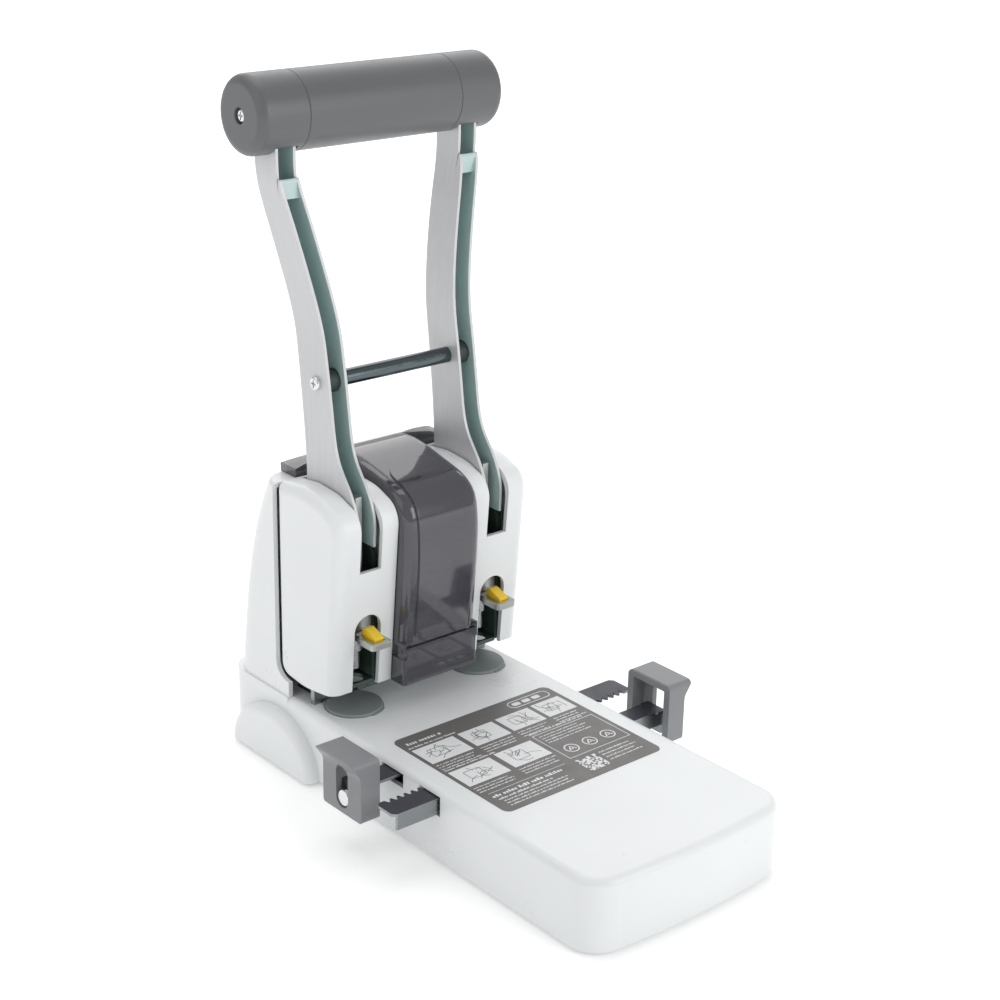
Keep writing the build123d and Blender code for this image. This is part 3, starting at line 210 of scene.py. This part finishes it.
WHITE = (0.80, 0.82, 0.825)
MATERIALS = {
    "white_plastic": moulded("white_moulding", WHITE, 0.30, relief=0.015, wear=1.01, edge=0.00015),
    "grey_plastic": moulded("grey_moulding", (0.225, 0.232, 0.243), 0.38,
                            grain=1100.0, relief=0.25, wear=1.5),
    "grip_plastic": moulded("grip_moulding", (0.118, 0.122, 0.128), 0.36, grain=900.0, relief=0.2, wear=1.35),
    "smoke_plastic": smoked("smoked_moulding"),
    "yellow_plastic": moulded("yellow_moulding", (0.90, 0.60, 0.025), 0.34, relief=0.1, wear=1.05),
    "disc_plastic": moulded("disc_moulding", (0.245, 0.275, 0.275), 0.46, grain=800.0, relief=0.2, wear=1.8),
    "label_film": printed("label_film", (0.140, 0.134, 0.130)),
    "zinc_steel": plated("zinc_sheet", (0.33, 0.35, 0.36), 0.30),
    "bright_steel": plated("bright_plating", (0.80, 0.81, 0.82), 0.13, relief=0.05),
    "tool_steel": plated("ground_steel", (0.50, 0.50, 0.51), 0.26),
    "cast_zinc": plated("die_cast_zinc", (0.50, 0.52, 0.50), 0.36, grain=(300.0, 300.0, 300.0), relief=0.3),
    "rubber_black": rubbery("foot_rubber"),
    "spring_steel": plated("spring_wire", (0.38, 0.38, 0.39), 0.30, grain=(900.0, 900.0, 900.0)),
}
# Grain scales of fine lines along each axis of the object.
LINES_X = (30.0, 900.0, 900.0)
ARM_SKIN = plated("arm_satin_zinc", (0.62, 0.625, 0.635), 0.46,
                  grain=(500.0, 500.0, 30.0), relief=0.08, tint=0.96, metal=0.35)
# Faces inside the arms' channels get a darker teal copy of the arm metal: painted shade and painted
# reflection, not a different plating.
ARM_CHANNEL = plated("arm_channel_painted_shade_reflection", (0.52, 0.66, 0.65), 0.42,
                     grain=(400.0, 400.0, 40.0), relief=0.1, metal=0.25)
FRAME_SKIN = plated("frame_passivated_zinc", (0.075, 0.115, 0.095), 0.34,
                    grain=(60.0, 900.0, 60.0), relief=0.15, metal=0.5)
CROSSBAR_SKIN = plated("crossbar_chrome", (0.115, 0.140, 0.150), 0.16, grain=LINES_X, relief=0.05, edge=0.0)
# Upward faces of the rails: a darker colour than the rest of each rail.
RAIL_TOP_SKIN = plated("rail_top_darker", (0.050, 0.052, 0.066), 0.42,
                       grain=LINES_X, relief=0.1, metal=0.2)
BUSH_SKIN = moulded("bush_moulding", (0.030, 0.045, 0.040), 0.45, wear=1.6)

for node_name, node in NODES.items():
    skin = MATERIALS[SLOT_OF[node_name]]
    if node_name.startswith("frame_") and node_name != "frame_tie":
        skin = FRAME_SKIN
    if node_name == "crossbar_bushes":
        skin = BUSH_SKIN
    if node_name == "crossbar":
        skin = CROSSBAR_SKIN
    if node_name.startswith("arm_"):
        skin = ARM_SKIN
    node.data.materials.clear()
    node.data.materials.append(skin)
    for polygon in node.data.polygons:
        polygon.material_index = 0

# Middle of an arm, as (z, x) in mm: straight, flared, straight.
ARM_MIDDLE = [(127, 40), (222, 40), (232, 40.5), (242, 41.7), (250, 43), (262, 45.5), (275, 48.5),
              (287, 51), (297, 53), (306, 54.1), (312, 54.4), (340, 54.4)]
ARM_HALF_W = 5.7
# Nearer to the middle plane than the outer faces by this much, a wall or the web is inside the channel.
WALL_INSET = 0.75
WEB_INSET = 2.0
ARM_ENDS = (127.0, 340.0)
END_SKIN = 0.5


def between(table, at):
    """The value of a table of (place, value) at a place, held level past its ends."""
    for (place0, value0), (place1, value1) in zip(table, table[1:]):
        if at <= place1:
            return value0 + (value1 - value0) * max(0.0, at - place0) / (place1 - place0)
    return table[-1][1]


# Faces inside each arm's channel get the painted shade and reflection material; the outer faces keep the
# plain arm metal.
for side_name in ("arm_left", "arm_right"):
    mesh = NODES[side_name].data
    mesh.materials.append(ARM_CHANNEL)
    for polygon in mesh.polygons:
        centre = polygon.center / MM
        offset = abs(abs(centre.x) - between(ARM_MIDDLE, centre.z))
        faces_side = abs(polygon.normal.x) > 0.5 and offset < ARM_HALF_W - WALL_INSET
        faces_front = polygon.normal.y < -0.3 and offset < ARM_HALF_W - WEB_INSET
        on_end = any(abs(centre.z - end) <= END_SKIN for end in ARM_ENDS)
        if (faces_side or faces_front) and not on_end:
            polygon.material_index = 1

# Upward faces of the rails get the darker material; their other faces keep the rail's own metal.
for rail_name in ("rail_front", "rail_rear"):
    mesh = NODES[rail_name].data
    mesh.materials.append(RAIL_TOP_SKIN)
    for polygon in mesh.polygons:
        if polygon.normal.z > 0.9:
            polygon.material_index = 1

# ---- added pieces ----


def piece(name, bm, material, body):
    """Turns mesh data into a shown piece that rides on a body."""
    bmesh.ops.recalc_face_normals(bm, faces=bm.faces)
    mesh = bpy.data.meshes.new(name)
    bm.to_mesh(mesh)
    bm.free()
    obj = bpy.data.objects.new(name, mesh)
    bpy.context.scene.collection.objects.link(obj)
    mesh.materials.append(material)
    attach(obj, body)
    return obj


def prism(bm, outline, z0, z1, hole=None):
    """A thin upright solid over an outline in mm, with an optional hole of as many points."""
    rings = []
    for points in filter(None, (outline, hole)):
        rings.append([[bm.verts.new((x * MM, y * MM, z * MM)) for x, y in points] for z in (z0, z1)])
    count = len(outline)
    for low, high in rings:
        for i in range(count):
            j = (i + 1) % count
            bm.faces.new((low[i], low[j], high[j], high[i]))
    for level in (0, 1):
        if hole:
            outer, inner = rings[0][level], rings[1][level]
            for i in range(count):
                j = (i + 1) % count
                bm.faces.new((outer[i], outer[j], inner[j], inner[i]))
        else:
            bm.faces.new(rings[0][level])


def rectangle(x0, y0, x1, y1):
    """The corners of a rectangle in order."""
    return [(x0, y0), (x1, y0), (x1, y1), (x0, y1)]


def rounded(x0, y0, x1, y1, radius, steps=6):
    """A rectangle with rounded corners."""
    points = []
    corners = ((x1 - radius, y1 - radius, 0), (x0 + radius, y1 - radius, 90),
               (x0 + radius, y0 + radius, 180), (x1 - radius, y0 + radius, 270))
    for cx, cy, start in corners:
        for i in range(steps + 1):
            turn = math.radians(start + 90.0 * i / steps)
            points.append((cx + radius * math.cos(turn), cy + radius * math.sin(turn)))
    return points


def circle(x, y, radius, count=36):
    """Points of a circle in order."""
    return [(x + radius * math.cos(2 * math.pi * i / count), y + radius * math.sin(2 * math.pi * i / count))
            for i in range(count)]


def stroke(points, width):
    """A flat band along a line of points."""
    left, right = [], []
    for i, (x, y) in enumerate(points):
        ahead = points[min(i + 1, len(points) - 1)]
        behind = points[max(i - 1, 0)]
        along = Vector((ahead[0] - behind[0], ahead[1] - behind[1])).normalized()
        left.append((x - along.y * width / 2, y + along.x * width / 2))
        right.append((x + along.y * width / 2, y - along.x * width / 2))
    return left + right[::-1]


# The label, in mm: u runs from its left edge to its right edge, v from its rear edge to its front edge.
LABEL_LOW, LABEL_HIGH = (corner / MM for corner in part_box("table_label"))
INK_T = 0.03
INK_Z = LABEL_HIGH.z
INK_TOP = INK_Z + INK_T
# Heights of the rows of print, in mm.
TITLE, HEADING, SUBHEADING, NOTE, SMALL, FINE = 2.4, 2.2, 1.4, 1.3, 0.95, 0.9
draw = random.Random(7)


def on_label(u, v):
    """A place on the label, in mm."""
    return (LABEL_LOW.x + u * (LABEL_HIGH.x - LABEL_LOW.x), LABEL_HIGH.y - v * (LABEL_HIGH.y - LABEL_LOW.y))


def panel_rect(u0, v0, u1, v1):
    """The corners of a part of the label, in mm, lowest first."""
    x0, y1 = on_label(u0, v0)
    x1, y0 = on_label(u1, v1)
    return x0, y0, x1, y1


def text_line(bm, u0, v, u1, height):
    """A row of small bars that stands for a line of print."""
    x, y = on_label(u0, v)
    end = on_label(u1, v)[0]
    while x < end - height:
        for _ in range(draw.randint(2, 7)):
            width = height * draw.uniform(0.35, 0.7)
            if x + width > end:
                break
            tall = height * draw.choice((0.7, 0.7, 1.0))
            prism(bm, rectangle(x, y, x + width, y + tall), INK_Z, INK_TOP)
            x += width + height * 0.22
        x += height * 0.5


# White panels as (u0, v0, u1, v1).
PANELS = [(0.02, 0.155, 0.275, 0.345), (0.305, 0.155, 0.525, 0.335), (0.55, 0.15, 0.765, 0.325),
          (0.79, 0.145, 0.975, 0.32), (0.02, 0.475, 0.275, 0.665), (0.31, 0.465, 0.545, 0.655)]

ink = bmesh.new()
for panel in PANELS:
    prism(ink, rectangle(*panel_rect(*panel)), INK_Z, INK_TOP)
    for row in range(3):
        text_line(ink, panel[0], panel[3] + 0.035 + 0.026 * row, panel[2] - draw.uniform(0.0, 0.06), SMALL)
prism(ink, rounded(*panel_rect(0.70, 0.035, 0.965, 0.115), 3.2), INK_Z, INK_TOP,
      rounded(*panel_rect(0.705, 0.041, 0.96, 0.109), 2.7))
for start in (0.725, 0.79, 0.855):
    prism(ink, rounded(*panel_rect(start, 0.057, start + 0.05, 0.093), 1.2), INK_Z, INK_TOP)
text_line(ink, 0.04, 0.095, 0.26, TITLE)
text_line(ink, 0.02, 0.135, 0.33, NOTE)
text_line(ink, 0.02, 0.455, 0.33, NOTE)
text_line(ink, 0.575, 0.425, 0.93, NOTE)
prism(ink, rectangle(*panel_rect(0.575, 0.44, 0.975, 0.765)), INK_Z, INK_TOP,
      rectangle(*panel_rect(0.579, 0.4445, 0.971, 0.7605)))
for row in range(4):
    text_line(ink, 0.60, 0.475 + 0.027 * row, 0.86 + 0.03 * (row % 2), FINE)
for u in (0.655, 0.775, 0.895):
    x, y = on_label(u, 0.675)
    prism(ink, circle(x, y, 4.0), INK_Z, INK_TOP, circle(x, y, 3.35))
    prism(ink, stroke([(x - 2.0, y - 1.6), (x, y + 1.7), (x + 2.0, y - 1.6)], 0.8), INK_Z, INK_TOP)
    prism(ink, circle(x, y - 0.7, 0.55, 16), INK_Z, INK_TOP)
prism(ink, rectangle(*panel_rect(0.04, 0.786, 0.52, 0.789)), INK_Z, INK_TOP)
text_line(ink, 0.04, 0.838, 0.50, HEADING)
text_line(ink, 0.05, 0.872, 0.40, SUBHEADING)
for row in range(3):
    text_line(ink, 0.06, 0.90 + 0.027 * row, 0.50 - draw.uniform(0.0, 0.08), SMALL)
for row in range(4):
    text_line(ink, 0.725, 0.815 + 0.032 * row, 0.965 - draw.uniform(0.0, 0.06), 1.0)
# A square block of random cells that encodes nothing.
CODE_CELLS = 13
CODE_FILL = 0.55
CODE_U0, CODE_V0, CODE_WIDTH = 0.575, 0.80, 0.125
LABEL_ASPECT = 99.6 / 87.0
code = panel_rect(CODE_U0, CODE_V0, CODE_U0 + CODE_WIDTH, CODE_V0 + CODE_WIDTH * LABEL_ASPECT)
cell = (code[2] - code[0]) / CODE_CELLS
for row in range(CODE_CELLS):
    for column in range(CODE_CELLS):
        if draw.random() < CODE_FILL:
            x, y = code[0] + column * cell, code[1] + row * cell
            prism(ink, rectangle(x, y, x + cell * 0.98, y + cell * 0.98), INK_Z, INK_TOP)
piece("label_print", ink, printed("label_ink", (0.78, 0.79, 0.80)), "base")

# Simple generic line drawings on the white panels of the label.
lines = bmesh.new()
for panel in PANELS:
    x0, y0, x1, y1 = panel_rect(*panel)
    cx, cy, w, h = (x0 + x1) / 2, (y0 + y1) / 2, x1 - x0, y1 - y0
    top = INK_TOP + INK_T
    for _ in range(9):
        px, py = draw.uniform(x0 + 0.2 * w, x1 - 0.2 * w), draw.uniform(y0 + 0.2 * h, y1 - 0.2 * h)
        turn = draw.uniform(0, math.pi)
        reach = draw.uniform(0.12, 0.3) * h
        bend = draw.uniform(-0.5, 0.5)
        path = []
        for i in range(7):
            t = (i / 6 - 0.5) * 2
            along = t * reach
            across = bend * reach * (1 - t * t)
            path.append((px + along * math.cos(turn) - across * math.sin(turn),
                         py + along * math.sin(turn) + across * math.cos(turn)))
        inside = all(x0 + 0.6 < x < x1 - 0.6 and y0 + 0.6 < y < y1 - 0.6 for x, y in path)
        if inside:
            prism(lines, stroke(path, 0.34), INK_TOP, top)
    prism(lines, rounded(cx - 0.28 * w, cy - 0.22 * h, cx + 0.1 * w, cy + 0.26 * h, 1.0), INK_TOP, top,
          rounded(cx - 0.28 * w + 0.35, cy - 0.22 * h + 0.35, cx + 0.1 * w - 0.35, cy + 0.26 * h - 0.35, 0.7))
piece("label_drawings", lines, printed("label_line_ink", (0.16, 0.155, 0.15)), "base")

# ---- ribs inside the hood ----
# Inner face of the hood's front wall, as (z, y) in mm.
HOOD_INSIDE = [(72.4, 43.7), (95.0, 41.9), (118.0, 40.4), (134.0, 40.9), (141.0, 42.6), (147.0, 45.6)]
RIB_PITCH = 5.8
RIB_COUNT = 12
RIB_START_Z = 79.0
RIB_HALF_W = 14.0
RIB_HALF_T = 0.45
RIB_DEPTH = 1.3
RIB_GAP = 0.6
TICK_LENGTH = 2.8
TICK_LOW, TICK_HIGH = 2.2, 3.4


ribs = bmesh.new()
for step in range(RIB_COUNT):
    height = RIB_START_Z + RIB_PITCH * step
    front = between(HOOD_INSIDE, height) + RIB_GAP
    rear = front + RIB_DEPTH
    tick_end = -RIB_HALF_W - RIB_GAP
    rib = rectangle(-RIB_HALF_W, front, RIB_HALF_W, rear)
    tick = rectangle(tick_end - TICK_LENGTH, front, tick_end, rear)
    prism(ribs, rib, height - RIB_HALF_T, height + RIB_HALF_T)
    prism(ribs, tick, height + TICK_LOW, height + TICK_HIGH)
piece("hood_ribs", ribs, moulded("rib_moulding", (0.55, 0.55, 0.58), 0.3), "base")

# ---- floor, light and camera ----
FLOOR_REACH = 30.0
# The floor glows a little, more with distance from the object: (near, far) strengths and distances.
FLOOR_GLOW = (0.26, 0.56)
GLOW_DISTANCE = (0.6, 2.2)
SKY_LIGHT, SKY_SEEN = 0.56, 1.0

floor_mesh = bpy.data.meshes.new("floor")
floor_corners = [(x * FLOOR_REACH, y * FLOOR_REACH, 0) for x, y in ((-1, -1), (1, -1), (1, 1), (-1, 1))]
floor_mesh.from_pydata(floor_corners, [], [(0, 1, 2, 3)])
floor = bpy.data.objects.new("floor", floor_mesh)
bpy.context.scene.collection.objects.link(floor)
paint = Shader("floor_paper")
paint.set("Base Color", (0.92, 0.92, 0.92, 1.0))
paint.set("Roughness", 0.75)
paint.set("Specular IOR Level", 0.2)
paint.set("Emission Color", (1.0, 1.0, 1.0, 1.0))
distance = paint.add("ShaderNodeVectorMath", operation="LENGTH")
paint.link(paint.place, distance.inputs[0])
paint.drive("Emission Strength", paint.spread(distance.outputs["Value"], *FLOOR_GLOW, *GLOW_DISTANCE))
floor_mesh.materials.append(paint.material)

world = bpy.data.worlds.new("studio")
bpy.context.scene.world = world
world.use_nodes = True
# Beyond the floor's edge the sky is seen as white, but it lights the scene more softly.
sky = world.node_tree
sky_light = sky.nodes["Background"]
sky_seen = sky.nodes.new("ShaderNodeBackground")
for background, strength in ((sky_light, SKY_LIGHT), (sky_seen, SKY_SEEN)):
    background.inputs[0].default_value = (1.0, 1.0, 1.0, 1.0)
    background.inputs[1].default_value = strength
sky_mix = sky.nodes.new("ShaderNodeMixShader")
sky.links.new(sky.nodes.new("ShaderNodeLightPath").outputs["Is Camera Ray"], sky_mix.inputs[0])
sky.links.new(sky_light.outputs[0], sky_mix.inputs[1])
sky.links.new(sky_seen.outputs[0], sky_mix.inputs[2])
sky.links.new(sky_mix.outputs[0], sky.nodes["World Output"].inputs["Surface"])


def softbox(name, place, target, width, height, power):
    """A large rectangular light aimed at a point."""
    light = bpy.data.lights.new(name, "AREA")
    light.shape = "RECTANGLE"
    light.size, light.size_y = width, height
    light.energy = power
    obj = bpy.data.objects.new(name, light)
    obj.location = place
    obj.rotation_euler = (Vector(target) - Vector(place)).to_track_quat("-Z", "Y").to_euler()
    obj.visible_camera = False
    bpy.context.scene.collection.objects.link(obj)


# Name, place, target, width, height (all in metres) and power in watts.
SOFTBOXES = [
    ("key", (-1.7, 0.1, 1.25), (0, 0, 0.15), 1.3, 1.6, 4.0),
    ("top", (0.1, 0.5, 2.0), (0, 0, 0.1), 1.6, 1.2, 9.0),
    ("fill", (0.7, -1.9, 0.9), (0, 0, 0.12), 1.2, 1.2, 13.0),
    ("ceiling", (0.0, 1.6, 2.2), (0, 0.05, 0.15), 2.4, 1.2, 5.0),
    ("rear_glow", (1.30, 1.50, 1.35), (0, 0.05, 0.15), 2.2, 1.3, 12.0),
]
for box in SOFTBOXES:
    softbox(*box)

# The camera stands to the front left and looks down a little.
LENS, SENSOR = 71.61, 36.0
CAMERA_PLACE = (-0.5742, -0.6674, 0.4953)
AZIMUTH, ELEVATION, ROLL = math.radians(-40.79), math.radians(20.93), math.radians(1.22)
camera_data = bpy.data.cameras.new("camera")
camera_data.lens = LENS
camera_data.sensor_width = SENSOR
camera_data.clip_start, camera_data.clip_end = 0.05, 80.0
camera = bpy.data.objects.new("camera", camera_data)
bpy.context.scene.collection.objects.link(camera)
flat = math.cos(ELEVATION)
back = Vector((math.sin(AZIMUTH) * flat, -math.cos(AZIMUTH) * flat, math.sin(ELEVATION)))
level = Vector((math.cos(AZIMUTH), math.sin(AZIMUTH), 0.0))
upright = back.cross(level)
across = math.cos(ROLL) * level + math.sin(ROLL) * upright
up = -math.sin(ROLL) * level + math.cos(ROLL) * upright
turn = Matrix((across, up, back)).transposed().to_4x4()
camera.matrix_world = Matrix.Translation(CAMERA_PLACE) @ turn
bpy.context.scene.camera = camera
bpy.context.scene.view_settings.view_transform = "Standard"

bpy.context.view_layer.update()
